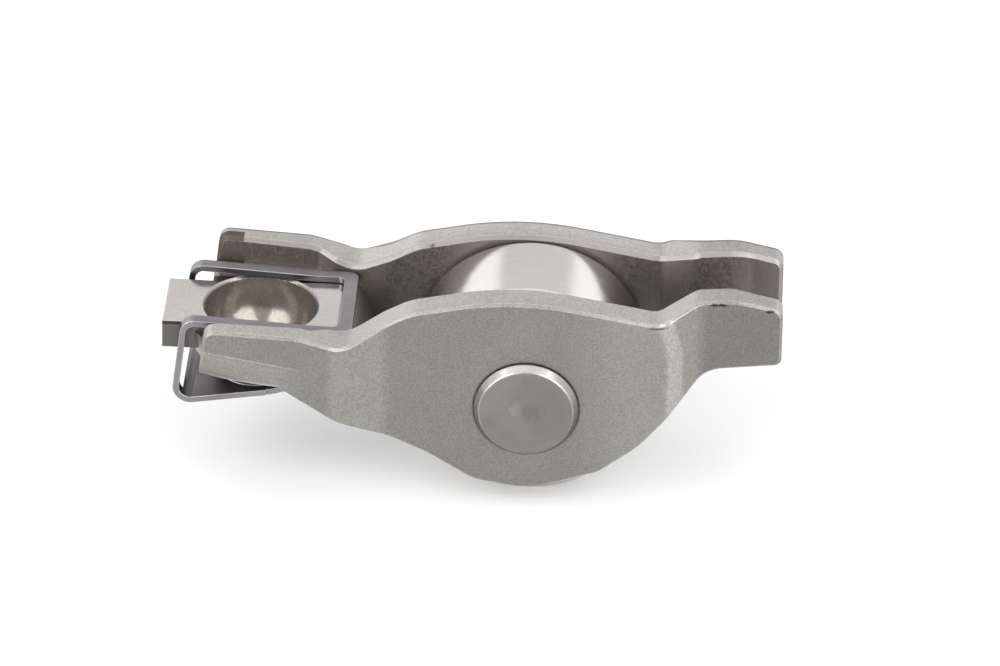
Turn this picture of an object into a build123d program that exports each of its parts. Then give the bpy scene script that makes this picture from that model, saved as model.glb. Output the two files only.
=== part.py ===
from build123d import *
import math
import os

# Stamped roller follower for a valve train. Millimetres, +Z up.
# The origin is the centre of the ball socket. +X runs from the socket to the valve end and the
# roller's axis lies along Y. The channel's open side, the ball socket and the pallet face up.

# ---- driving dimensions ----
PIN_X = 21.6                 # roller axis from the socket's centre
PIN_Z = -4.5
SHEET = 2.4                  # web thickness
WALL_SHEET = 2.6             # wall thickness beside the roller
OUTER_EDGE_BREAK = 0.2       # along the walls' outer edges
INNER_EDGE_BREAK = 0.3
SECTION_REACH = 60.0         # longer than the part, for cutting tools

# Roller and its full complement of needles
ROLLER_D = 18.6
ROLLER_WIDTH = 7.7
ROLLER_EDGE = 0.2
ROLLER_SIDE_GAP = 0.2        # to each wall
NEEDLE_D = 1.6
NEEDLE_END_GAP = 0.25        # from each needle's end to the roller's face
NEEDLE_CLEARANCE = 0.02      # on the radius, to the pin and to the roller
NEEDLE_COUNT = 19

WALL_INNER = ROLLER_WIDTH / 2 + ROLLER_SIDE_GAP
WALL_OUTER = WALL_INNER + WALL_SHEET

# Axle pin, staked in both walls
PIN_D = 8.4
PIN_PROUD = 0.75             # past each wall
PIN_CHAMFER = 0.45           # on the radius
PIN_CHAMFER_LENGTH = 0.65
PIN_HOLE_CLEARANCE = 0.01    # on the radius

# Side profile of both walls: (x, z, corner radius), clockwise from the socket end's top corner.
WALL_PROFILE = (
    (-3.85, 3.05, 0.9),
    (3.6, 2.5, 3.0),
    (7.3, 1.35, 2.5),
    (12.35, 4.0, 5.0),
    (20.7, 5.58, 25.0),
    (31.9, 3.35, 2.0),
    (35.2, 4.65, 2.5),
    (38.2, 4.85, 6.0),
    (41.9, 3.95, 0.9),
    (41.85, -1.05, 0.6),
    (36.0, -1.57, 3.0),
    (30.46, -8.06, 8.0),
    (27.3, -10.45, 1.5),
    (21.8, -12.1, 6.0),
    (17.4, -11.35, 3.0),
    (13.6, -8.9, 1.5),
    (7.1, -5.7, 20.0),
    (1.9, -2.1, 0.0),
    (-4.45, -1.75, 0.0),
)

# Plan of one wall: (x, y, bend radius). The walls joggle out to the socket and in to the pallet.
WALL_OUTSIDE = (
    (-9.0, 8.42, 0.0),
    (6.4, 8.3, 2.5),
    (10.6, WALL_OUTER, 4.0),
    (32.8, WALL_OUTER, 1.6),
    (35.3, 5.0, 1.8),
    (47.0, 4.93, 0.0),
)
WALL_INSIDE = (
    (47.0, 2.85, 0.0),
    (39.4, 2.85, 2.0),
    (37.6, 2.6, 2.0),
    (34.9, 2.6, 1.5),
    (32.0, WALL_INNER, 1.5),
    (10.3, WALL_INNER, 3.0),
    (5.7, 5.3, 1.0),
    (4.3, 6.25, 0.8),
    (-9.0, 7.0, 0.0),
)

# Top line of the socket web, from the tab's end to the lip that turns down beside the roller.
SOCKET_WEB = (
    (-7.65, 0.95, 0.0),
    (7.7, 0.42, 2.6),
    (9.7, -5.0, 0.0),
)
TAB_HALF_WIDTH = 3.3
TAB_CORNER = 0.5

# Outer fold between the socket web and the walls: sections as (x, wall's outside y, z where the
# rounding starts, how far it draws in at half its height and at its foot). It fades to the right.
FOLD_HEIGHT = 2.9
FOLD_SECTIONS = (
    (-6.0, 8.4, 1.2, 0.95, 2.9),
    (4.5, 8.32, -1.2, 0.01, 0.03),
)

# Top line of the pallet web. The valve stem bears on its crown.
PALLET_WEB = (
    (33.0, -3.4, 0.0),
    (36.0, 0.35, 1.6),
    (38.6, 0.6, 12.0),
    (41.9, 0.2, 0.0),
)
PALLET_SHEET = 1.9

# Ball socket
BALL_RADIUS = 4.5
DOME_RADIUS = 6.05           # drawn thinner than the sheet
SOCKET_RIM_BREAK = 0.2
OIL_HOLE_D = 1.2

# Retaining clip, from thin spring strip. Its lower plate is a ring round the socket's dome.
CLIP_SHEET = 0.5
CLIP_END = 7.6               # outside of the cross leg
CLIP_RING_HOLE = 4.15        # radius
CLIP_RING_RADIUS = 4.75
CLIP_CLEARANCE = 0.06        # on the radius, from the ring to the dome
CLIP_TILT = 7.73             # degrees, how the lower plate rises towards the roller
CLIP_SEAT = math.sqrt(DOME_RADIUS**2 - (CLIP_RING_HOLE - CLIP_CLEARANCE)**2)
CLIP_DROP = (CLIP_SEAT + CLIP_SHEET) / math.cos(math.radians(CLIP_TILT))


def clip_plate_z(x):
    """Height of the lower plate's underside."""
    return x * math.tan(math.radians(CLIP_TILT)) - CLIP_DROP


# Outer line of the clip's side view as (x, z, bend radius), from the cross leg along the rails,
# down the legs and back under the dome.
CLIP_LINE = (
    (CLIP_END, 0.98, 0.0),
    (4.4, 1.1, 3.0),
    (-5.95, 1.95, 1.2),
    (-7.08, clip_plate_z(-7.08), 1.4),
    (5.2, clip_plate_z(5.2), 0.0),
)
CLIP_PLAN = (
    (-9.0, -4.85, 0.0),
    (CLIP_END, -4.85, 0.8),
    (CLIP_END, 4.85, 0.8),
    (-9.0, 4.85, 0.0),
)
CLIP_RAIL_INSIDE = 3.85      # half the gap between the rails
CLIP_CROSS_LEG = 1.1
CLIP_CORNER = 0.5            # inside corners of the cross leg
CLIP_PLATE_START = -6.1      # the lower plate between the legs


def rounded(points, close=False):
    """Polyline through (a, b, corner radius) points; an open one ignores its end radii."""
    corners = points if close else points[1:-1]
    return FilletPolyline(
        *[(a, b) for a, b, _ in points],
        radius=[r for _, _, r in corners],
        close=close,
    )


def across(face_xz, half_width):
    """Extrude a face drawn in the XZ plane to both sides of the middle plane."""
    return extrude(Plane.XZ * face_xz, amount=half_width, both=True)


def strip(points, thickness, half_width, side):
    """Bent sheet whose face follows points, with its thickness on the given side of travel."""
    section = make_face(offset(rounded(points), amount=thickness, side=side, closed=True))
    return across(section, half_width)


def block(x_from, x_to, half_width, z_from=-SECTION_REACH, z_to=SECTION_REACH):
    """Box across the middle plane between two stations."""
    size = (x_to - x_from, 2 * half_width, z_to - z_from)
    return Pos((x_from + x_to) / 2, 0, (z_from + z_to) / 2) * Box(*size)


def both_sides(solid):
    return solid + mirror(solid, about=Plane.XZ)


def plan_prism(face_xy):
    """Extrude a face drawn in plan far enough up and down to trim the whole part."""
    return extrude(face_xy, amount=SECTION_REACH, both=True)


def axle_cylinder(radius, length):
    """Cylinder about the roller's axis, centred on the middle plane."""
    return Pos(PIN_X, 0, PIN_Z) * Rot(90, 0, 0) * Cylinder(radius, length)


def ball_socket_cutter():
    """Turned square to the web: the ball's seat, straight sides and a broken rim."""
    (x_from, z_from, _), (x_to, z_to, _) = SOCKET_WEB[:2]
    slope = math.atan2(z_to - z_from, x_to - x_from)
    web_top = z_from * math.cos(slope) - x_from * math.sin(slope)
    above = web_top + SHEET
    rim = BALL_RADIUS + SOCKET_RIM_BREAK
    edges = [
        CenterArc((0, 0), BALL_RADIUS, -90, 90),
        Line((BALL_RADIUS, 0), (BALL_RADIUS, web_top - SOCKET_RIM_BREAK)),
        Line((BALL_RADIUS, web_top - SOCKET_RIM_BREAK), (rim, web_top)),
        Line((rim, web_top), (rim, above)),
        Line((rim, above), (0, above)),
        Line((0, above), (0, -BALL_RADIUS)),
    ]
    return Rot(0, -math.degrees(slope), 0) * revolve(Plane.XZ * make_face(edges), axis=Axis.Z)


def fold_cutter():
    """What the outer fold of the socket web takes off both walls' lower corners."""
    sections = []
    for x, y, z, drawn_mid, drawn_foot in FOLD_SECTIONS:
        foot = z - FOLD_HEIGHT
        corners = [(y, z), (y - drawn_foot, foot), (y + SHEET, foot), (y + SHEET, z)]
        middle = (y - drawn_mid, z - 0.68 * FOLD_HEIGHT)
        curve = ThreePointArc(corners[0], middle, corners[1])
        rest = Polyline(*corners[1:], corners[0])
        sections.append(Plane.YZ.offset(x) * make_face([curve, *rest.edges()]))
    return both_sides(loft(sections, ruled=True))


def dome():
    """Outside of the drawn socket, below the web."""
    return Sphere(DOME_RADIUS) & block(-SECTION_REACH, SECTION_REACH, SECTION_REACH, z_to=0)


def plan_region(curve):
    """Prism over the plan between a wall line and its mirror image."""
    middle = Polyline(curve @ 1, ((curve @ 1).X, 0), ((curve @ 0).X, 0), curve @ 0)
    return both_sides(plan_prism(make_face(list(curve.edges()) + list(middle.edges()))))


def along(edges):
    """The edges that run along the arm, and not across it or straight up."""
    flat = [e for e in edges if abs(e.tangent_at(0.5).Z) < 0.99]
    return [e for e in flat if abs(e.tangent_at(0.5).Y) < 0.99]


def build_arm():
    profile = across(make_face(rounded(WALL_PROFILE, close=True)), SECTION_REACH)
    blank = profile & plan_region(rounded(WALL_OUTSIDE))
    blank = chamfer(along(blank.edges()), OUTER_EDGE_BREAK)
    well = plan_region(rounded(WALL_INSIDE))
    walls = blank - well
    walls = chamfer(along(new_edges(blank, well, combined=walls)), INNER_EDGE_BREAK)

    socket_web = strip(SOCKET_WEB, SHEET, SECTION_REACH, Side.RIGHT)
    pallet_web = strip(PALLET_WEB, PALLET_SHEET, SECTION_REACH, Side.RIGHT)
    channel = walls + (blank & well & (socket_web + pallet_web))

    tab = socket_web & block(-20, 0, TAB_HALF_WIDTH)
    tab = fillet(tab.edges().filter_by(Axis.Z).group_by(Axis.X)[0], TAB_CORNER)

    arm = channel - fold_cutter() + tab + dome()
    arm -= ball_socket_cutter()
    arm -= Cylinder(OIL_HOLE_D / 2, SECTION_REACH)
    arm -= axle_cylinder(PIN_D / 2 + PIN_HOLE_CLEARANCE, SECTION_REACH)
    return arm


def build_axle_pin():
    pin = axle_cylinder(PIN_D / 2, 2 * (WALL_OUTER + PIN_PROUD))
    for side in (0, -1):
        end = pin.faces().sort_by(Axis.Y)[side]
        pin = chamfer(end.edges(), PIN_CHAMFER, PIN_CHAMFER_LENGTH, reference=end)
    return pin


def build_roller():
    bore = PIN_D / 2 + NEEDLE_D + 2 * NEEDLE_CLEARANCE
    roller = axle_cylinder(ROLLER_D / 2, ROLLER_WIDTH)
    roller = chamfer(roller.edges(), ROLLER_EDGE)
    return roller - axle_cylinder(bore, ROLLER_WIDTH)


def build_needle(angle):
    pitch = PIN_D / 2 + NEEDLE_D / 2 + NEEDLE_CLEARANCE
    x = PIN_X + pitch * math.cos(angle)
    z = PIN_Z + pitch * math.sin(angle)
    length = ROLLER_WIDTH - 2 * NEEDLE_END_GAP
    return Pos(x, 0, z) * Rot(90, 0, 0) * Cylinder(NEEDLE_D / 2, length)


def build_clip():
    sheet = strip(CLIP_LINE, CLIP_SHEET, SECTION_REACH, Side.LEFT)
    sheet &= plan_prism(make_face(rounded(CLIP_PLAN, close=True)))

    cross_leg = CLIP_LINE[0][0] - CLIP_CROSS_LEG
    rail_floor = -DOME_RADIUS / 2
    rail_gap = block(-20, cross_leg, CLIP_RAIL_INSIDE, z_from=rail_floor)
    rail_gap = fillet(rail_gap.edges().filter_by(Axis.Z).group_by(Axis.X)[-1], CLIP_CORNER)
    leg_gap = block(-20, CLIP_PLATE_START, CLIP_RAIL_INSIDE)

    under_dome = Rot(0, -CLIP_TILT, 0) * Pos(0, 0, -DOME_RADIUS)
    depth = 2 * (DOME_RADIUS - BALL_RADIUS) + SHEET
    ring_hole = under_dome * Cylinder(CLIP_RING_HOLE, depth)
    beyond = Pos(SHEET * 5, 0, 0) * Box(SHEET * 10, SHEET * 10, depth)
    ring_end = under_dome * (beyond - Cylinder(CLIP_RING_RADIUS, depth))
    return sheet - rail_gap - leg_gap - ring_hole - ring_end


nodes = {
    "arm_body": build_arm(),
    "axle_pin": build_axle_pin(),
    "cam_roller": build_roller(),
    "retaining_clip": build_clip(),
}
for number in range(NEEDLE_COUNT):
    nodes[f"needle_{number + 1:02d}"] = build_needle(2 * math.pi * number / NEEDLE_COUNT)

os.makedirs("parts", exist_ok=True)
for name, solid in nodes.items():
    export_step(solid, f"parts/{name}.step")
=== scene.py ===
"""Roller follower rocker arm, dressed and lit for a studio view.

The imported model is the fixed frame: every solid keeps its place and its mesh, and gets a steel of
its own. Lengths are in metres, tones are linear and angles are in degrees.
"""

from __future__ import annotations

import logging
import math
from dataclasses import dataclass
from enum import Enum

import bpy
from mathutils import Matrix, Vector


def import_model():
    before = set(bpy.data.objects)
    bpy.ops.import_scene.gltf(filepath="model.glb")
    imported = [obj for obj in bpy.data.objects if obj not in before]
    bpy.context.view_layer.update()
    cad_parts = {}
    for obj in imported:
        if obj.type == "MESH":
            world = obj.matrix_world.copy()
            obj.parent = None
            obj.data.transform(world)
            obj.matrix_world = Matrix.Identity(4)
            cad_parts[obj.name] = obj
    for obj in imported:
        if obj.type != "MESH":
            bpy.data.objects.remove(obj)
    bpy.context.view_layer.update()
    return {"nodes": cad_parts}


LOG = logging.getLogger("rocker_arm")

Colour = tuple[float, float, float]
Point = tuple[float, float, float]
Span = tuple[float, float]
Output = bpy.types.NodeSocket
Value = Output | float | Colour

FULL_RANGE: Span = (0.0, 1.0)


class Socket(Enum):
    """Kinds of socket that a node group may show."""

    NUMBER = "NodeSocketFloat"
    VECTOR = "NodeSocketVector"


class Lay(Enum):
    """Direction in which a surface was worked."""

    TUMBLED = "tumbled"
    TURNED = "turned"
    GROUND = "ground"
    DRAWN = "drawn"


class Measure(Enum):
    """What the bands of a zone are measured along."""

    X = "along the arm"
    Y = "across the arm"
    Z = "up"
    SIDE = "distance from the middle plane"
    FACES_SIDE = "share of the normal that points sideways"
    FACES_UP = "share of the normal that points up"
    AXLE_RADIUS = "distance from the roller's axis"
    BALL_RADIUS = "distance from the centre of the ball socket"
    BELOW_FOLD = "depth below the fold line of the wall"
    OFF_FOLD = "distance from that line"
    ABOVE_FOOT = "height above the wall's lower edge at the socket end"
    UNDER_SKIN = "depth from the wall's outer face"
    BEND = "along the arm, following the leaning bend at the valve end"


@dataclass(frozen=True)
class Band:
    """One limit of a zone: where it starts to count along a measure, and where it is full."""

    along: Measure
    start: float
    full: float


@dataclass(frozen=True)
class Spot:
    """A small ragged patch: its centre and its half size along each axis."""

    centre: Point
    reach: Point


@dataclass(frozen=True)
class Nick:
    """A small dent or burr on an edge, how deep it is and how dark the painted shade in it is."""

    spot: Spot
    depth: float = 0.9


@dataclass(frozen=True)
class Zone:
    """A stretch of a surface with a tone of its own, from how it was worked, from wear, or from
    painted light and shade.

    Its place is given by bands, which all have to hold, or by a spot.
    """

    name: str
    tone: Colour
    roughness: float
    bands: tuple[Band, ...] = ()
    spot: Spot | None = None
    strength: float = 1.0
    metallic: float = 1.0
    grain: float = 1.0
    edge_glint_and_wear: float = 1.0


@dataclass(frozen=True)
class SteelFinish:
    """One steel surface: its tone, how it was worked, the wear and painted highlight on its edges
    and the painted shade in its corners.
    """

    name: str
    tone: Colour
    glint_and_wear_tone: Colour
    recess_shade_tone: Colour
    roughness: float
    lay: Lay
    grain_depth: float
    mottle: float
    bump: float
    grain_scale: float = 6000.0
    edge_radius: float = 0.00028
    edge_strength: float = 1.0
    recess_reach: float = 0.004
    recess_strength: float = 0.5


class Shader:
    """Small helper that adds and joins nodes in one tree."""

    def __init__(self, tree: bpy.types.NodeTree) -> None:
        """Keep the tree that the nodes go in."""
        self.tree = tree

    def node(self, kind: str, **settings: object) -> bpy.types.Node:
        """Add a node.

        Args:
            kind: the node's type name, without the ShaderNode in front.
            settings: properties of the node, set before its sockets are joined.

        Returns:
            The new node.
        """
        node = self.tree.nodes.new("ShaderNode" + kind)
        for key, value in settings.items():
            setattr(node, key, value)
        return node

    def join(self, source: Output, target: bpy.types.NodeSocket) -> None:
        """Link an output to an input."""
        self.tree.links.new(source, target)

    def feed(self, target: bpy.types.NodeSocket, value: Value) -> None:
        """Set an input to a constant, or link an output to it.

        Args:
            target: the input.
            value: the constant or the output.
        """
        if isinstance(value, bpy.types.NodeSocket):
            self.join(value, target)
        else:
            target.default_value = value

    def split(self, vector: Output) -> tuple[Output, Output, Output]:
        """Split a vector.

        Args:
            vector: the vector.

        Returns:
            Its three components.
        """
        node = self.node("SeparateXYZ")
        self.join(vector, node.inputs["Vector"])
        x, y, z = node.outputs
        return x, y, z

    def maths(self, operation: str, *values: Value, clamp: bool = False) -> Output:
        """Add a Math node.

        Args:
            operation: the Math node's operation.
            values: constants or outputs for its inputs.
            clamp: keep the result between 0 and 1.

        Returns:
            The node's output.
        """
        node = self.node("Math", operation=operation, use_clamp=clamp)
        for socket, value in zip(node.inputs, values):
            self.feed(socket, value)
        return node.outputs["Value"]

    def product(self, *values: Value) -> Output:
        """Multiply values one after another.

        Args:
            values: two or more constants or outputs.

        Returns:
            Their product.
        """
        result = values[0]
        for value in values[1:]:
            result = self.maths("MULTIPLY", result, value)
        return result

    def vector(self, operation: str, *values: Value) -> bpy.types.Node:
        """Add a Vector Math node.

        Args:
            operation: the node's operation.
            values: constants or outputs for its vector inputs.

        Returns:
            The node, which gives a Vector and a Value.
        """
        node = self.node("VectorMath", operation=operation)
        for socket, value in zip(node.inputs, values):
            self.feed(socket, value)
        return node

    def scaled(self, vector: Value, factor: Value) -> Output:
        """Multiply a colour or a vector by a number.

        Args:
            vector: the colour or vector.
            factor: the number.

        Returns:
            The scaled vector.
        """
        node = self.node("VectorMath", operation="SCALE")
        self.feed(node.inputs["Vector"], vector)
        self.feed(node.inputs["Scale"], factor)
        return node.outputs["Vector"]

    def mix(self, factor: Value, first: Value, second: Value) -> Output:
        """Add a colour mix.

        Args:
            factor: share of the second colour.
            first: colour at 0.
            second: colour at 1.

        Returns:
            The mixed colour.
        """
        node = self.node("Mix", data_type="RGBA", clamp_factor=True)
        self.feed(node.inputs["Factor"], factor)
        # The node has one A, B and Result for each kind of value.
        for key, value in (("A_Color", first), ("B_Color", second)):
            socket = next(s for s in node.inputs if s.identifier == key)
            self.feed(socket, (*value, 1.0) if isinstance(value, tuple) else value)
        return next(s for s in node.outputs if s.identifier == "Result_Color")

    def ramp(self, value: Output, low: float, high: float, gives: Span = FULL_RANGE) -> Output:
        """Map a value smoothly from one range to another and hold it at the ends.

        Args:
            value: what is mapped.
            low: the value that gives the first result.
            high: the value that gives the second result. It may be less than low.
            gives: the two results.

        Returns:
            The mapped value.
        """
        node = self.node("MapRange", interpolation_type="SMOOTHSTEP", clamp=True)
        for key, number in (("From Min", low), ("From Max", high), ("To Min", gives[0]),
                            ("To Max", gives[1])):
            node.inputs[key].default_value = number
        self.join(value, node.inputs["Value"])
        return node.outputs["Result"]

    def noise(self, vector: Output, scale: Value, detail: float, roughness: float) -> Output:
        """Add a noise texture.

        Args:
            vector: where it is read.
            scale: its frequency.
            detail: how many octaves it has.
            roughness: how strong each finer octave is.

        Returns:
            The noise, about 0.5 on average.
        """
        node = self.node("TexNoise")
        self.join(vector, node.inputs["Vector"])
        self.feed(node.inputs["Scale"], scale)
        node.inputs["Detail"].default_value = detail
        node.inputs["Roughness"].default_value = roughness
        return node.outputs["Fac"]


class EffectGroup:
    """Base of the shared surface effects: a node group that is built once and placed often."""

    name = "effect"
    inputs: tuple[tuple[str, Socket], ...] = ()
    outputs: tuple[tuple[str, Socket], ...] = ()

    def __init__(self) -> None:
        """Make the group's tree, its sockets and its nodes."""
        self.tree = bpy.data.node_groups.new(self.name, "ShaderNodeTree")
        for direction, sockets in (("INPUT", self.inputs), ("OUTPUT", self.outputs)):
            for title, kind in sockets:
                self.tree.interface.new_socket(title, in_out=direction, socket_type=kind.value)
        self.shader = Shader(self.tree)
        self.entry = self.tree.nodes.new("NodeGroupInput").outputs
        self.exit = self.tree.nodes.new("NodeGroupOutput").inputs
        self.build()

    def build(self) -> None:
        """Add the nodes of the effect."""
        raise NotImplementedError

    def place(self, shader: Shader, **values: Value) -> bpy.types.NodeOutputs:
        """Put the group in a material.

        Args:
            shader: the material's helper.
            values: what each input gets, by name, with _ for a space.

        Returns:
            The outputs of the group's node in that material.
        """
        node = shader.tree.nodes.new("ShaderNodeGroup")
        node.node_tree = self.tree
        for key, value in values.items():
            shader.feed(node.inputs[key.replace("_", " ")], value)
        return node.outputs


class EdgeGlintAndWear(EffectGroup):
    """Rounded normals and a mask along sharp edges, for their wear and a painted highlight, broken
    up as rubbing leaves it.
    """

    name = "edge_glint_and_wear"
    inputs = (("Position", Socket.VECTOR), ("Radius", Socket.NUMBER), ("Breakup", Socket.NUMBER))
    outputs = (("Mask", Socket.NUMBER), ("Normal", Socket.VECTOR))
    samples = 6
    turn_to_glint_and_wear: Span = (0.004, 0.16)
    patch_range: Span = (0.30, 0.55)
    patch_keeps: Span = (0.45, 1.0)

    def build(self) -> None:
        """Compare the rounded normal with the true one, and break the difference up."""
        s = self.shader
        bevel = s.node("Bevel", samples=self.samples)
        s.join(self.entry["Radius"], bevel.inputs["Radius"])
        geometry = s.node("NewGeometry")
        same = s.vector("DOT_PRODUCT", bevel.outputs["Normal"], geometry.outputs["Normal"])
        turned = s.maths("SUBTRACT", 1.0, same.outputs["Value"])
        glint_and_wear_mask = s.ramp(turned, *self.turn_to_glint_and_wear)
        patches = s.noise(self.entry["Position"], self.entry["Breakup"], detail=4.0,
                          roughness=0.65)
        kept = s.ramp(patches, *self.patch_range, self.patch_keeps)
        s.join(s.maths("MULTIPLY", glint_and_wear_mask, kept, clamp=True), self.exit["Mask"])
        s.join(bevel.outputs["Normal"], self.exit["Normal"])


class SpeckleGrain(EffectGroup):
    """Fine speckle of a tumbled surface, and a slow cloudy mottling apart from it."""

    name = "speckle_grain"
    inputs = (("Position", Socket.VECTOR), ("Scale", Socket.NUMBER),
              ("Mottle Scale", Socket.NUMBER))
    outputs = (("Grain", Socket.NUMBER), ("Mottle", Socket.NUMBER))
    coarse_scale = 0.3
    fine_share = 0.85
    grain_range: Span = (0.36, 0.64)
    mottle_range: Span = (0.32, 0.68)

    def build(self) -> None:
        """Layer a fine and a coarse noise, and add the slow one beside them."""
        s = self.shader
        fine = s.noise(self.entry["Position"], self.entry["Scale"], detail=3.0, roughness=0.6)
        coarse_scale = s.maths("MULTIPLY", self.entry["Scale"], self.coarse_scale)
        coarse = s.noise(self.entry["Position"], coarse_scale, detail=2.0, roughness=0.5)
        both = s.maths("ADD", s.maths("MULTIPLY", fine, self.fine_share),
                       s.maths("MULTIPLY", coarse, 1.0 - self.fine_share))
        s.join(s.ramp(both, *self.grain_range), self.exit["Grain"])
        slow = s.noise(self.entry["Position"], self.entry["Mottle Scale"], detail=4.0,
                       roughness=0.6)
        s.join(s.ramp(slow, *self.mottle_range), self.exit["Mottle"])


class WorkedLines(EffectGroup):
    """Fine parallel lines left by turning, grinding or drawing, across one coordinate."""

    name = "worked_lines"
    inputs = (("Across", Socket.NUMBER), ("Along", Socket.NUMBER), ("Pitch", Socket.NUMBER))
    outputs = (("Lines", Socket.NUMBER), ("Bands", Socket.NUMBER))
    line_scale = 1.0
    band_scale = 0.14
    contrast: Span = (0.3, 0.7)

    def build(self) -> None:
        """Stretch two noises along the lines."""
        s = self.shader
        stretched = s.node("CombineXYZ")
        s.join(s.maths("DIVIDE", self.entry["Across"], self.entry["Pitch"]),
               stretched.inputs["X"])
        s.join(self.entry["Along"], stretched.inputs["Y"])
        for scale, title in ((self.line_scale, "Lines"), (self.band_scale, "Bands")):
            streaks = s.noise(stretched.outputs["Vector"], scale, detail=2.0, roughness=0.5)
            s.join(s.ramp(streaks, *self.contrast), self.exit[title])


class Recess(EffectGroup):
    """How closed in a point is, and a mask of deep corners, which get a painted shade."""

    name = "recess"
    inputs = (("Position", Socket.VECTOR), ("Reach", Socket.NUMBER))
    outputs = (("Mask", Socket.NUMBER), ("Closed", Socket.NUMBER))
    samples = 12
    cloud_scale = 320.0
    cloud_range: Span = (0.3, 0.7)
    cloud_gives: Span = (0.95, 1.03)
    mask_range: Span = (0.30, 0.85)

    def build(self) -> None:
        """Turn ambient occlusion into a mask and break it up."""
        s = self.shader
        reach = s.node("AmbientOcclusion", samples=self.samples, only_local=False)
        s.join(self.entry["Reach"], reach.inputs["Distance"])
        closed = s.maths("SUBTRACT", 1.0, reach.outputs["AO"])
        cloud = s.noise(self.entry["Position"], self.cloud_scale, detail=4.0, roughness=0.6)
        uneven = s.maths("MULTIPLY", closed, s.ramp(cloud, *self.cloud_range, self.cloud_gives))
        s.join(s.ramp(uneven, *self.mask_range), self.exit["Mask"])
        s.join(closed, self.exit["Closed"])


class SpotMark(EffectGroup):
    """Mask of one small patch, ragged at its rim. Closeness is one over each half size."""

    name = "spot_mark"
    inputs = (("Position", Socket.VECTOR), ("Centre", Socket.VECTOR),
              ("Closeness", Socket.VECTOR))
    outputs = (("Mask", Socket.NUMBER),)
    ragged_scale = 2600.0
    ragged_range: Span = (0.3, 0.7)
    ragged_by: Span = (-0.35, 0.35)
    rim: Span = (1.0, 0.55)

    def build(self) -> None:
        """Measure how far the point is from the centre, in half sizes."""
        s = self.shader
        away = s.vector("SUBTRACT", self.entry["Position"], self.entry["Centre"])
        scaled = s.vector("MULTIPLY", away.outputs["Vector"], self.entry["Closeness"])
        far = s.vector("LENGTH", scaled.outputs["Vector"]).outputs["Value"]
        noise = s.noise(self.entry["Position"], self.ragged_scale, detail=3.0, roughness=0.6)
        ragged = s.ramp(noise, *self.ragged_range, self.ragged_by)
        s.join(s.ramp(s.maths("ADD", far, ragged), *self.rim), self.exit["Mask"])


class Effects:
    """The shared effects, each built once."""

    def __init__(self) -> None:
        """Build every group."""
        self.edge = EdgeGlintAndWear()
        self.grain = SpeckleGrain()
        self.lines = WorkedLines()
        self.recess = Recess()
        self.spot = SpotMark()


@dataclass(frozen=True)
class Axle:
    """Where the roller's axis lies."""

    x: float = 0.0216
    z: float = -0.0045


class SurfacePoint:
    """A shaded point in object coordinates, its normal, and its place about the roller's axis."""

    def __init__(self, shader: Shader, axle: Axle) -> None:
        """Split the object coordinates and the normal.

        Args:
            shader: the material's helper.
            axle: the roller's axis.
        """
        source = shader.node("TexCoord").outputs
        self.position: Output = source["Object"]
        x, y, z = shader.split(self.position)
        _, normal_y, normal_z = shader.split(source["Normal"])
        from_axle_x = shader.maths("SUBTRACT", x, axle.x)
        from_axle_z = shader.maths("SUBTRACT", z, axle.z)
        self.turn = shader.maths("ARCTAN2", from_axle_z, from_axle_x)
        self.measures: dict[Measure, Output] = {
            Measure.X: x,
            Measure.Y: y,
            Measure.Z: z,
            Measure.SIDE: shader.maths("ABSOLUTE", y),
            Measure.FACES_SIDE: shader.maths("ABSOLUTE", normal_y),
            Measure.FACES_UP: normal_z,
            Measure.AXLE_RADIUS: shader.maths("SQRT", shader.maths(
                "ADD", shader.product(from_axle_x, from_axle_x),
                shader.product(from_axle_z, from_axle_z))),
        }

    def __getitem__(self, measure: Measure) -> Output:
        """Give the output of a measure."""
        return self.measures[measure]


@dataclass
class Look:
    """What the zones make of a finish so far, as constants or outputs."""

    tone: Value
    roughness: Value
    metallic: Value = 1.0
    grain: Value = 1.0
    edge_glint_and_wear: Value = 1.0

    def blend(self, shader: Shader, share: Output, zone: Zone) -> None:
        """Lay a zone over the look.

        Args:
            shader: the material's helper.
            share: how far the zone counts.
            zone: the zone.
        """
        self.tone = shader.mix(share, self.tone, zone.tone)
        step = shader.maths("SUBTRACT", zone.roughness, self.roughness)
        self.roughness = shader.maths("ADD", self.roughness, shader.product(share, step))
        self.metallic = self.reduced(shader, self.metallic, share, zone.metallic)
        self.grain = self.reduced(shader, self.grain, share, zone.grain)
        self.edge_glint_and_wear = self.reduced(shader, self.edge_glint_and_wear, share, zone.edge_glint_and_wear)

    def reduced(self, shader: Shader, value: Value, share: Output, left: float) -> Value:
        """Lower a value where a zone counts.

        Args:
            shader: the material's helper.
            value: the value so far.
            share: how far the zone counts.
            left: what the zone leaves of a value of 1.

        Returns:
            The value less the zone's part.
        """
        return shader.maths("SUBTRACT", value, shader.product(share, 1.0 - left))


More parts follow.
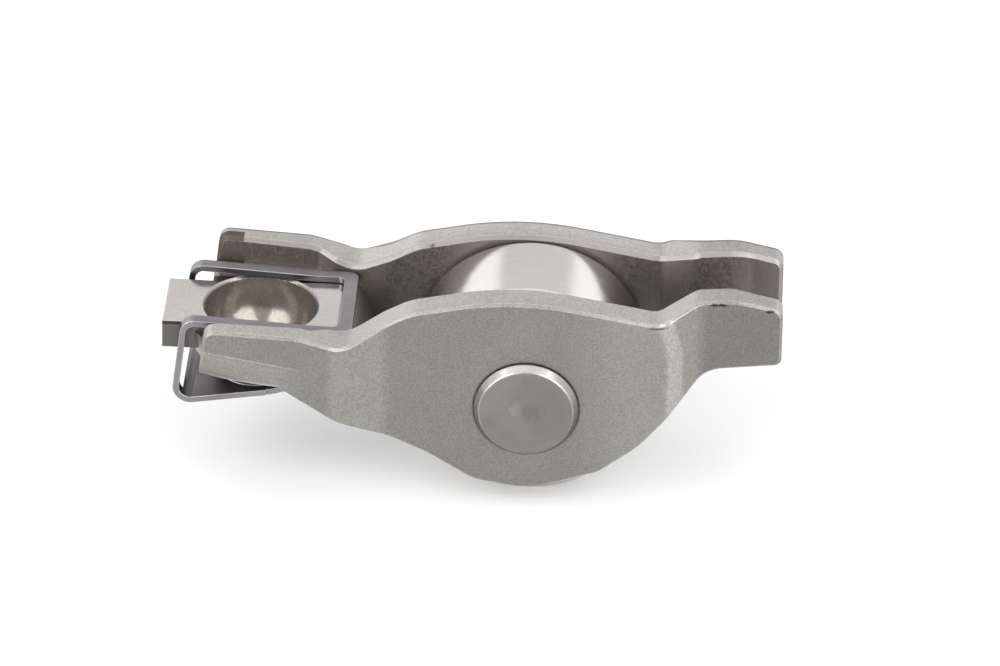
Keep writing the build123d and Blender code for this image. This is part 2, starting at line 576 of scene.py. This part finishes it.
@dataclass
class SteelPiece:
    """Solids of one steel: their nodes, their finish and how it is built.

    The constants below hold for every steel.
    """

    finish: SteelFinish
    node_names: tuple[str, ...]
    axle: Axle = Axle()
    wear_breakup: float = 700.0
    mottle_scale: float = 170.0
    line_pitch: float = 0.00012
    ground_stretch: float = 2.0
    drawn_stretch: float = 400.0
    line_share: float = 0.6
    outer_edges: Span = (0.38, 0.22)
    rougher_in_grain: Span = (0.85, 1.15)
    smoother_by_wear: float = 0.3
    bump_distance: float = 0.00002
    nick_bump: float = 3.0
    nick_shade_tone: Colour = (0.035, 0.031, 0.028)

    def zones(self) -> tuple[Zone, ...]:
        """List the zones, the later over the earlier. A plain steel has none."""
        return ()

    def nicks(self) -> tuple[Nick, ...]:
        """List the nicks. A plain steel has none."""
        return ()

    def add_measures(self, shader: Shader, at: SurfacePoint) -> None:
        """Add the measures that only this piece's zones use. A plain steel has none."""

    def texture(self, shader: Shader, effects: Effects, at: SurfacePoint, grain: Output) -> Output:
        """Give the fine texture of the surface.

        Args:
            shader: the material's helper.
            effects: the shared node groups.
            at: the shaded point.
            grain: the speckle, which a tumbled surface has.

        Returns:
            The texture, from 0 to 1.
        """
        lay = self.finish.lay
        if lay is Lay.TUMBLED:
            return grain
        across = at[Measure.Y]
        if lay is Lay.TURNED:
            across, along = shader.maths("ADD", at[Measure.AXLE_RADIUS], across), at.turn
        elif lay is Lay.GROUND:
            along = shader.product(at.turn, self.ground_stretch)
        else:
            along = shader.product(at[Measure.X], self.drawn_stretch)
        lines = effects.lines.place(shader, Across=across, Along=along, Pitch=self.line_pitch)
        return shader.maths("ADD", shader.product(lines["Lines"], self.line_share),
                            shader.product(lines["Bands"], 1.0 - self.line_share))

    def spot_mask(self, shader: Shader, effects: Effects, at: SurfacePoint, spot: Spot) -> Output:
        """Give the mask of a spot.

        Args:
            shader: the material's helper.
            effects: the shared node groups.
            at: the shaded point.
            spot: the spot. A half size that is infinite has no limit.

        Returns:
            The mask.
        """
        closeness = tuple(1.0 / half for half in spot.reach)
        return effects.spot.place(shader, Position=at.position, Centre=spot.centre,
                                  Closeness=closeness)["Mask"]

    def zone_share(self, shader: Shader, effects: Effects, at: SurfacePoint,
                   zone: Zone) -> Output:
        """Give how far a zone counts at the shaded point.

        Args:
            shader: the material's helper.
            effects: the shared node groups.
            at: the shaded point.
            zone: the zone.

        Returns:
            Its mask times its strength.
        """
        masks = [shader.ramp(at[band.along], band.start, band.full) for band in zone.bands]
        if zone.spot is not None:
            masks.append(self.spot_mask(shader, effects, at, zone.spot))
        share = shader.product(*masks, zone.strength)
        share.node.label = zone.name
        return share

    def nicked(self, shader: Shader, effects: Effects, at: SurfacePoint, tone: Output,
               height: Output) -> tuple[Output, Output]:
        """Cut the nicks into the height, and their painted shade into the tone.

        Args:
            shader: the material's helper.
            effects: the shared node groups.
            at: the shaded point.
            tone: the tone without nicks.
            height: the height without nicks.

        Returns:
            The tone and the height with them.
        """
        for nick in self.nicks():
            share = shader.product(self.spot_mask(shader, effects, at, nick.spot), nick.depth)
            # Each nick's near-black tone is painted shade in the dent; the dent itself is in the
            # height.
            tone = shader.mix(share, tone, self.nick_shade_tone)
            height = shader.maths("SUBTRACT", height, shader.product(share, self.nick_bump))
        return tone, height

    def build_material(self, effects: Effects) -> bpy.types.Material:
        """Build the piece's steel.

        Args:
            effects: the shared node groups.

        Returns:
            The material.
        """
        finish = self.finish
        material = bpy.data.materials.new(finish.name)
        material.use_nodes = True
        material.node_tree.nodes.clear()
        s = Shader(material.node_tree)
        steel = s.node("BsdfPrincipled")
        s.join(steel.outputs["BSDF"], s.node("OutputMaterial").inputs["Surface"])
        at = SurfacePoint(s, self.axle)
        self.add_measures(s, at)

        edge = effects.edge.place(s, Position=at.position, Radius=finish.edge_radius,
                                  Breakup=self.wear_breakup)
        grain = effects.grain.place(s, Position=at.position, Scale=finish.grain_scale,
                                    Mottle_Scale=self.mottle_scale)
        recess = effects.recess.place(s, Position=at.position, Reach=finish.recess_reach)
        texture = self.texture(s, effects, at, grain["Grain"])
        # Only outer edges round off and get the tone of wear and painted highlight; the inner
        # corners are left to the painted recess shade.
        outer = s.ramp(recess["Closed"], *self.outer_edges)
        flat_normal = s.node("NewGeometry").outputs["Normal"]
        rounded = s.vector("NORMALIZE", s.mix(outer, flat_normal, edge["Normal"]))

        # Zones set a plain tone and roughness first; the grain and the edges' wear and painted
        # highlight then vary both.
        look = Look(finish.tone, finish.roughness)
        for zone in self.zones():
            look.blend(s, self.zone_share(s, effects, at, zone), zone)
        spread = s.ramp(texture, *FULL_RANGE, (-finish.grain_depth, finish.grain_depth))
        grained = s.maths("ADD", 1.0, s.product(spread, look.grain))
        clouded = s.ramp(grain["Mottle"], *FULL_RANGE, (1 + finish.mottle, 1 - finish.mottle))
        tone = s.scaled(look.tone, s.product(grained, clouded))
        # Deep corners get the painted recess shade.
        tone = s.mix(s.product(recess["Mask"], finish.recess_strength), tone,
                     finish.recess_shade_tone)
        # The edges' light tone is partly wear and partly a painted highlight.
        glint_and_wear_share = s.product(edge["Mask"], outer, s.maths("MAXIMUM", look.edge_glint_and_wear, 0.0))
        tone = s.mix(s.product(glint_and_wear_share, finish.edge_strength), tone, finish.glint_and_wear_tone)
        tone, height = self.nicked(s, effects, at, tone, texture)
        s.join(tone, steel.inputs["Base Color"])
        s.feed(steel.inputs["Metallic"], look.metallic)

        varied = s.ramp(texture, *FULL_RANGE, self.rougher_in_grain)
        smoothed = s.maths("SUBTRACT", varied, s.product(glint_and_wear_share, self.smoother_by_wear))
        s.join(s.product(look.roughness, smoothed), steel.inputs["Roughness"])

        bump = s.node("Bump")
        s.join(s.maths("MULTIPLY", look.grain, finish.bump, clamp=True), bump.inputs["Strength"])
        bump.inputs["Distance"].default_value = self.bump_distance
        s.join(height, bump.inputs["Height"])
        s.join(rounded.outputs["Vector"], bump.inputs["Normal"])
        s.join(bump.outputs["Normal"], steel.inputs["Normal"])
        return material

    def dress(self, nodes: dict[str, bpy.types.Object], effects: Effects) -> None:
        """Give each of the piece's solids its steel.

        Args:
            nodes: the frame's solids by name.
            effects: the shared node groups.
        """
        material = self.build_material(effects)
        for name in self.node_names:
            solid = nodes[name]
            solid.data.materials.clear()
            solid.data.materials.append(material)
            LOG.info("dressed %s with %s", name, material.name)


@dataclass
class StampedArm(SteelPiece):
    """The arm body: drawn sheet, sheared edges, a coined web and a polished ball socket."""

    finish: SteelFinish = SteelFinish(
        name="tumbled_arm_steel", tone=(0.222, 0.217, 0.204), glint_and_wear_tone=(0.60, 0.585, 0.57),
        recess_shade_tone=(0.155, 0.134, 0.120), roughness=0.46, lay=Lay.TUMBLED,
        grain_depth=0.13, mottle=0.025, bump=0.3, edge_radius=0.00014, edge_strength=0.75,
        recess_strength=0.6)
    node_names: tuple[str, ...] = ("arm_body",)
    fold_slope: float = 0.2
    fold_height: float = 0.00033
    foot_slope: float = 0.055
    foot_drop: float = 0.00199
    socket_step: Span = (0.0064, 0.0106)
    socket_half_width: float = 0.00837
    roller_half_width: float = 0.00665
    valve_step: Span = (0.0325, 0.0356)
    valve_step_in: float = 0.00168
    bend_height: Span = (0.0003, 0.0038)
    bend_lean: float = 0.0007

    def add_measures(self, shader: Shader, at: SurfacePoint) -> None:
        """Add the distances from the socket's centre and from the arm's lines, skin and bend.

        Args:
            shader: the material's helper.
            at: the shaded point, which keeps them.
        """
        x, z = at[Measure.X], at[Measure.Z]
        fold = shader.maths("SUBTRACT", self.fold_height, shader.maths(
            "ADD", z, shader.product(x, self.fold_slope)))
        foot = shader.maths("ADD", shader.maths("ADD", z, self.foot_drop),
                            shader.product(x, self.foot_slope))
        near_socket = shader.ramp(
            x, *self.socket_step, (self.socket_half_width, self.roller_half_width))
        near_valve = shader.ramp(x, *self.valve_step, (0.0, -self.valve_step_in))
        outside = shader.maths("ADD", near_socket, near_valve)
        lean = shader.ramp(z, *self.bend_height, (0.0, self.bend_lean))
        at.measures.update({
            Measure.BALL_RADIUS: shader.vector("LENGTH", at.position).outputs["Value"],
            Measure.BELOW_FOLD: fold,
            Measure.OFF_FOLD: shader.maths("ABSOLUTE", fold),
            Measure.ABOVE_FOOT: foot,
            Measure.UNDER_SKIN: shader.maths("SUBTRACT", outside, at[Measure.SIDE]),
            Measure.BEND: shader.maths("ADD", x, lean),
        })

    def zones(self) -> tuple[Zone, ...]:
        """List the bent, sheared, coined and polished zones and those of painted light and shade,
        the later over the earlier.
        """
        return self.wall_zones() + self.edge_zones() + self.socket_zones() + self.line_zones()

    def wall_zones(self) -> tuple[Zone, ...]:
        """List the zones of the walls' faces.

        Returns:
            The joggle, the cheek towards the bend, the valve end, below the fold, its line, the
            inner face.
        """
        folded = (Band(Measure.X, 0.0048, 0.0012), Band(Measure.SIDE, 0.0078, 0.0080))
        return (
            # Painted highlight: the joggle's outer faces turn to the light on the right and are
            # painted lighter.
            Zone("joggle", tone=(0.272, 0.266, 0.248), roughness=0.42, bands=(
                Band(Measure.X, 0.0056, 0.0064), Band(Measure.X, 0.0110, 0.0098),
                Band(Measure.SIDE, 0.0062, 0.0065))),
            # Painted light: from 24 mm on, the faces are painted lighter towards the valve-end
            # bend, as the light falls there.
            Zone("cheek lit towards the bend", tone=(0.268, 0.264, 0.249), roughness=0.44, bands=(
                Band(Measure.X, 0.0240, 0.0300), Band(Measure.X, 0.0340, 0.0335))),
            # Painted shade: the inset outer faces at the valve end are painted darker.
            Zone("valve end", tone=(0.190, 0.184, 0.172), roughness=0.46, bands=(
                Band(Measure.X, 0.0352, 0.0362), Band(Measure.SIDE, 0.0046, 0.0048))),
            # Painted reflection: the band below the fold tilts down and is painted lighter, as it
            # mirrors the pale floor.
            Zone("below the fold", tone=(0.275, 0.271, 0.252), roughness=0.42, bands=(
                Band(Measure.BELOW_FOLD, 0.0, 0.0003), *folded)),
            # Painted highlight along the crease of the fold.
            Zone("fold line", tone=(0.40, 0.39, 0.37), roughness=0.36, strength=0.55, bands=(
                Band(Measure.OFF_FOLD, 0.00012, 0.00004), *folded)),
            # Painted shade: the walls' inner faces are painted a little darker and browner.
            Zone("inner wall", tone=(0.205, 0.187, 0.173), roughness=0.52, grain=0.08, bands=(
                Band(Measure.UNDER_SKIN, 0.0008, 0.0010), Band(Measure.FACES_SIDE, 0.3, 0.5))),
        )

    def edge_zones(self) -> tuple[Zone, ...]:
        """List the zones of the sheared edges.

        Returns:
            All the edges, the far wall's middle and the valve end's.
        """
        sheared = Band(Measure.FACES_SIDE, 0.80, 0.50)
        return (
            # Partly the sheared finish, partly painted light: faces that don't face sideways, the
            # lit top edges among them, are painted lighter.
            Zone("sheared and lit edge", tone=(0.415, 0.400, 0.388), roughness=0.38, bands=(sheared,)),
            # Painted light: the far wall's top edge is painted lighter still along its middle.
            Zone("far wall's middle edge", tone=(0.465, 0.450, 0.440), roughness=0.38, bands=(
                sheared, Band(Measure.Y, 0.0040, 0.0060),
                Band(Measure.X, 0.0110, 0.0150), Band(Measure.X, 0.0320, 0.0290))),
            # Painted shade: the edges at the valve end are painted darker.
            Zone("valve end's edge", tone=(0.365, 0.350, 0.338), roughness=0.38, bands=(
                sheared, Band(Measure.X, 0.0345, 0.0365))),
        )

    def socket_zones(self) -> tuple[Zone, ...]:
        """List the zones round the ball socket.

        Returns:
            The plate, coined and painted lighter, the polished dish, and the end tab's sides and
            lips in painted shade.
        """
        tab_side = (Band(Measure.X, -0.0036, -0.0040), Band(Measure.SIDE, 0.0036, 0.0034),
                    Band(Measure.FACES_SIDE, 0.5, 0.8))
        return (
            # Partly the coined finish, partly painted light: the up-facing plate is painted much
            # lighter.
            Zone("coined and lit plate", tone=(0.56, 0.53, 0.515), roughness=0.14, grain=0.35, bands=(
                Band(Measure.FACES_UP, 0.80, 0.95), Band(Measure.Z, 0.00125, 0.00110))),
            Zone("polished dish", tone=(0.27, 0.242, 0.215), roughness=0.17, metallic=0.64,
                 grain=0.1, bands=(Band(Measure.BALL_RADIUS, 0.00464, 0.00458),)),
            # Painted shade on the sides of the end tab.
            Zone("tab side", tone=(0.13, 0.124, 0.118), roughness=0.4, bands=tab_side),
            # Painted shadow: a near-black band along the upper part of the tab's sides.
            Zone("tab lip", tone=(0.05, 0.047, 0.045), roughness=0.45, edge_glint_and_wear=0.4, bands=(
                *tab_side, Band(Measure.Z, 0.00056, 0.00066))),
        )

    def line_zones(self) -> tuple[Zone, ...]:
        """List the narrow zones.

        Returns:
            The foot line, the rolled-over edge, the bend's crest and foot, the shade by the step
            and the hole's rim.
        """
        return (
            # Painted highlight along the lower edge of the walls at the socket end.
            Zone("foot line", tone=(0.44, 0.43, 0.41), roughness=0.36, strength=0.8, bands=(
                Band(Measure.ABOVE_FOOT, 0.00026, 0.00014), Band(Measure.X, 0.0024, 0.0012),
                Band(Measure.SIDE, 0.0050, 0.0056))),
            # Painted shade: the far wall's rolled-over outer edge faces away from the light and is
            # painted darker.
            Zone("shaded rollover", tone=(0.19, 0.183, 0.178), roughness=0.45, strength=0.75,
                 edge_glint_and_wear=0.2, bands=(
                Band(Measure.UNDER_SKIN, 0.00048, 0.00036), Band(Measure.Y, 0.001, 0.002),
                Band(Measure.FACES_SIDE, 0.9, 0.7), Band(Measure.FACES_UP, 0.3, 0.5))),
            # Painted highlight along the crest of the valve-end bend.
            Zone("bend crest", tone=(0.41, 0.40, 0.382), roughness=0.36, strength=0.75, bands=(
                Band(Measure.BEND, 0.0325, 0.0331), Band(Measure.BEND, 0.0345, 0.0338),
                Band(Measure.SIDE, 0.0046, 0.0050), Band(Measure.FACES_SIDE, 0.4, 0.7))),
            # Painted light: the ramp at the foot of the bend gets a lighter, browner tone, as it
            # turns to the light.
            Zone("bend foot", tone=(0.275, 0.258, 0.238), roughness=0.42, bands=(
                Band(Measure.BEND, 0.0338, 0.0344), Band(Measure.X, 0.0355, 0.0348),
                Band(Measure.SIDE, 0.0044, 0.0048), Band(Measure.FACES_SIDE, 0.4, 0.7))),
            # Painted shade: a near-black patch on a side face of the far wall, left of the step.
            Zone("shade by the step", tone=(0.095, 0.080, 0.070), roughness=0.5, edge_glint_and_wear=0.0, bands=(
                Band(Measure.X, -0.00180, -0.00190), Band(Measure.Y, 0.0060, 0.0062),
                Band(Measure.Y, 0.00765, 0.00758), Band(Measure.FACES_SIDE, 0.96, 0.85))),
            # Painted shadow: a dark ring on the walls round the pin's hole.
            Zone("hole rim", tone=(0.09, 0.085, 0.08), roughness=0.45, strength=0.75,
                 edge_glint_and_wear=0.0, bands=(
                Band(Measure.AXLE_RADIUS, 0.00441, 0.00427),
                Band(Measure.SIDE, 0.0062, 0.0064))),
        )

    def nicks(self) -> tuple[Nick, ...]:
        """List the dents and burrs on the edges.

        Returns:
            Two at the valve end, one at the bend and one on the far wall.
        """
        return (
            Nick(Spot((0.0370, -0.0050, 0.00446), (0.0009, 0.0004, 0.00015))),
            Nick(Spot((0.0409, -0.0049, 0.00392), (0.0004, 0.0004, 0.00018))),
            Nick(Spot((0.0319, -0.0067, 0.00315), (0.0009, 0.0004, 0.00012)), depth=0.7),
            Nick(Spot((0.0136, 0.0042, 0.0040), (0.00028, 0.0003, 0.00022)), depth=0.6),
        )


@dataclass
class AxlePin(SteelPiece):
    """The axle pin, with its chamfered rims painted bright, and a dark patch and a painted
    highlight on its end faces.
    """

    finish: SteelFinish = SteelFinish(
        name="turned_pin_steel", tone=(0.205, 0.202, 0.19), glint_and_wear_tone=(0.62, 0.61, 0.59),
        recess_shade_tone=(0.2, 0.19, 0.18), roughness=0.4, lay=Lay.TURNED,
        grain_depth=0.035, mottle=0.07, bump=0.04, recess_strength=0.3, edge_strength=0.35)
    node_names: tuple[str, ...] = ("axle_pin",)
    rim: Span = (0.00374, 0.00377)
    seat: Span = (0.00684, 0.00676)

    def zones(self) -> tuple[Zone, ...]:
        """List the pin's zones.

        Returns:
            The end faces' dark patch and painted highlight, the rims' painted highlight and the
            painted contact shadow at the seat in the walls.
        """
        return (
            # A darker patch just right of the centre of the pin's end faces.
            Zone("dark end patch", tone=(0.16, 0.157, 0.148), roughness=0.42, strength=0.55,
                 spot=Spot((0.0221, 0.0, -0.0044), (0.0011, math.inf, 0.0008))),
            # Painted highlight: the lighter spot of the dimple, left of the end faces' centre.
            Zone("dimple highlight", tone=(0.27, 0.265, 0.25), roughness=0.36, strength=0.5,
                 spot=Spot((0.0208, 0.0, -0.0042), (0.0006, math.inf, 0.0008))),
            # Painted highlight on the pin's chamfered rims.
            Zone("bright rim", tone=(0.46, 0.45, 0.43), roughness=0.24,
                 bands=(Band(Measure.AXLE_RADIUS, *self.rim),)),
            # Painted contact shadow: a dark band on the pin where it enters the walls.
            Zone("dark seat", tone=(0.06, 0.056, 0.052), roughness=0.5, edge_glint_and_wear=0.0,
                 bands=(Band(Measure.SIDE, *self.seat),)),
        )


@dataclass
class CamRoller(SteelPiece):
    """The roller, ground round its rim."""

    finish: SteelFinish = SteelFinish(
        name="ground_roller_steel", tone=(0.56, 0.545, 0.535), glint_and_wear_tone=(0.66, 0.65, 0.64),
        recess_shade_tone=(0.4, 0.38, 0.36), roughness=0.19, lay=Lay.GROUND,
        grain_depth=0.02, mottle=0.02, bump=0.02, recess_strength=0.2)
    node_names: tuple[str, ...] = ("cam_roller",)


@dataclass
class RetainingClip(SteelPiece):
    """The retaining clip, which is lighter on its cross leg."""

    finish: SteelFinish = SteelFinish(
        name="spring_clip_steel", tone=(0.236, 0.228, 0.239), glint_and_wear_tone=(0.68, 0.66, 0.68),
        recess_shade_tone=(0.1, 0.095, 0.09), roughness=0.34, lay=Lay.DRAWN,
        grain_depth=0.08, mottle=0.08, bump=0.06, edge_radius=0.00012, recess_strength=0.4)
    node_names: tuple[str, ...] = ("retaining_clip",)
    cross_leg_from: Span = (0.0060, 0.0066)
    cross_leg_above: Span = (-0.001, 0.0)

    def zones(self) -> tuple[Zone, ...]:
        """List the lighter cross leg."""
        # A lighter tone on the cross leg.
        return (Zone("lighter cross leg", tone=(0.262, 0.25, 0.257), roughness=0.34, bands=(
            Band(Measure.X, *self.cross_leg_from), Band(Measure.Z, *self.cross_leg_above))),)


@dataclass
class NeedleSet(SteelPiece):
    """The needle rollers round the axle pin."""

    finish: SteelFinish = SteelFinish(
        name="ground_needle_steel", tone=(0.55, 0.55, 0.54), glint_and_wear_tone=(0.6, 0.6, 0.6),
        recess_shade_tone=(0.3, 0.29, 0.28), roughness=0.22, lay=Lay.GROUND,
        grain_depth=0.05, mottle=0.04, bump=0.04, recess_strength=0.3)
    node_names: tuple[str, ...] = ()
    count: int = 19

    def __post_init__(self) -> None:
        """Name the needles by their number."""
        self.node_names = tuple(f"needle_{number:02d}" for number in range(1, self.count + 1))


def seen_rays(shader: Shader) -> Output:
    """Tell the rays that show the background from those that light the arm.

    Args:
        shader: the helper of the material or of the world.

    Returns:
        1 for camera, glossy and transmission rays, and 0 for the rest.
    """
    path = shader.node("LightPath").outputs
    seen = shader.maths("MAXIMUM", path["Is Camera Ray"], path["Is Glossy Ray"])
    return shader.maths("MAXIMUM", seen, path["Is Transmission Ray"])


def bearing(azimuth: float, elevation: float, distance: float) -> Vector:
    """Give the vector from the arm to a point.

    Args:
        azimuth: angle from the arm's front, to the right.
        elevation: angle above the level.
        distance: how far the point is.

    Returns:
        The vector.
    """
    turn, rise = math.radians(azimuth), math.radians(elevation)
    flat = distance * math.cos(rise)
    return Vector((flat * math.sin(turn), -flat * math.cos(turn), distance * math.sin(rise)))


def hold(name: str, data: bpy.types.ID, target: Vector, place: Vector) -> bpy.types.Object:
    """Add a lamp or a camera that faces the target.

    Args:
        name: the object's name.
        data: the lamp or the camera.
        target: what it faces.
        place: where it hangs, from the target.

    Returns:
        The new object.
    """
    holder = bpy.data.objects.new(name, data)
    holder.location = target + place
    holder.rotation_euler = (-place).to_track_quat("-Z", "Y").to_euler()
    bpy.context.scene.collection.objects.link(holder)
    return holder


@dataclass(frozen=True)
class Softbox:
    """An area lamp that faces the arm.

    Its place is from the target, and its radiance is 1 where its face looks white. Its light adds
    to the white behind it.
    """

    name: str
    place: Vector
    size: tuple[float, float]
    radiance: float

    def build(self, target: Vector) -> None:
        """Hang the lamp.

        Args:
            target: what it faces.
        """
        width, height = self.size
        lamp = bpy.data.lights.new(self.name, "AREA")
        lamp.shape = "RECTANGLE"
        lamp.size, lamp.size_y = width, height
        lamp.energy = self.radiance * math.pi * width * height
        hold(self.name, lamp, target, self.place)
        LOG.info("hung %s", self.name)


@dataclass(frozen=True)
class Floor:
    """A wide pale floor that the roller touches."""

    level: float = -0.01382
    size: float = 4.0
    tone: float = 0.82
    lift: float = 0.14

    def build(self, centre_x: float) -> None:
        """Lay the floor.

        Args:
            centre_x: where its middle is, along the arm.
        """
        bpy.ops.mesh.primitive_plane_add(size=self.size, location=(centre_x, 0.0, self.level))
        floor = bpy.context.object
        floor.name = "studio_floor"
        material = bpy.data.materials.new("pale_floor")
        material.use_nodes = True
        material.node_tree.nodes.clear()
        s = Shader(material.node_tree)
        matt = s.node("BsdfDiffuse")
        matt.inputs["Color"].default_value = (self.tone,) * 3 + (1.0,)
        glow = s.node("Emission")
        s.join(s.product(seen_rays(s), self.lift), glow.inputs["Strength"])
        both = s.node("AddShader")
        s.join(matt.outputs["BSDF"], both.inputs[0])
        s.join(glow.outputs["Emission"], both.inputs[1])
        s.join(both.outputs["Shader"], s.node("OutputMaterial").inputs["Surface"])
        floor.data.materials.append(material)
        LOG.info("laid the floor at %.5f m", self.level)


@dataclass(frozen=True)
class WhiteWorld:
    """A world that is white where it is seen, and an even fill elsewhere."""

    white: float = 1.0
    fill: float = 0.55

    def build(self) -> None:
        """Set the world of the scene."""
        world = bpy.data.worlds.new("studio_world")
        world.use_nodes = True
        world.node_tree.nodes.clear()
        s = Shader(world.node_tree)
        background = s.node("Background")
        background.inputs["Color"].default_value = (1.0, 1.0, 1.0, 1.0)
        strength = s.ramp(seen_rays(s), *FULL_RANGE, (self.fill, self.white))
        s.join(strength, background.inputs["Strength"])
        s.join(background.outputs["Background"], s.node("OutputWorld").inputs["Surface"])
        bpy.context.scene.world = world
        LOG.info("set the white world")


@dataclass(frozen=True)
class LongLens:
    """The camera, far off at a low angle."""

    azimuth: float = 2.4
    elevation: float = 31.5
    distance: float = 0.490
    lens: float = 218.7
    sensor: float = 36.0
    shift: tuple[float, float] = (-0.0295, 0.032)
    clip: Span = (0.01, 10.0)

    def build(self, target: Vector) -> None:
        """Set the camera up.

        Args:
            target: what it faces.
        """
        camera = bpy.data.cameras.new("studio_camera")
        camera.lens = self.lens
        camera.sensor_width = self.sensor
        camera.sensor_fit = "HORIZONTAL"
        camera.shift_x, camera.shift_y = self.shift
        camera.clip_start, camera.clip_end = self.clip
        place = bearing(self.azimuth, self.elevation, self.distance)
        bpy.context.scene.camera = hold("studio_camera", camera, target, place)
        LOG.info("set the camera")


@dataclass
class Studio:
    """The world, the floor, the lamps and the camera round the roller's axis."""

    axle: Axle = Axle()
    world: WhiteWorld = WhiteWorld()
    floor: Floor = Floor()
    camera: LongLens = LongLens()
    lamp_distance: float = 0.7
    above: Point = (0.0, 0.10, 0.60)
    above_size: tuple[float, float] = (0.8, 0.5)
    above_radiance: float = 0.8
    behind_azimuth: tuple[float, float] = (28.5, 31.5)
    behind_elevation: float = 15.0
    behind_size: tuple[float, float] = (0.23, 0.42)
    behind_radiance: float = 0.64
    front_azimuth: float = 47.0
    front_elevation: float = 25.0
    front_size: tuple[float, float] = (0.58, 0.8)
    front_radiance: float = 3.0

    def softboxes(self) -> list[Softbox]:
        """List the lamps.

        Returns:
            A large box above, then a low one behind and a large one in front on each side.
        """
        boxes = [Softbox("softbox_above", Vector(self.above), self.above_size,
                         self.above_radiance)]
        for side, name, turn in zip((-1, 1), ("left", "right"), self.behind_azimuth):
            behind = bearing(180 - side * turn, self.behind_elevation, self.lamp_distance)
            front = bearing(side * self.front_azimuth, self.front_elevation, self.lamp_distance)
            boxes.append(Softbox(f"softbox_behind_{name}", behind, self.behind_size,
                                 self.behind_radiance))
            boxes.append(Softbox(f"softbox_front_{name}", front, self.front_size,
                                 self.front_radiance))
        return boxes

    def build(self) -> None:
        """Set the whole studio up."""
        target = Vector((self.axle.x, 0.0, self.axle.z))
        self.world.build()
        self.floor.build(self.axle.x)
        for softbox in self.softboxes():
            softbox.build(target)
        self.camera.build(target)
        bpy.context.scene.view_settings.view_transform = "Standard"


def main() -> None:
    """Load the frame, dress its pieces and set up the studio."""
    logging.basicConfig(level=logging.INFO, format="%(name)s: %(message)s")
    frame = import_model()
    effects = Effects()
    for piece in (StampedArm(), AxlePin(), CamRoller(), RetainingClip(), NeedleSet()):
        piece.dress(frame["nodes"], effects)
    Studio().build()


if __name__ == "__main__":
    main()
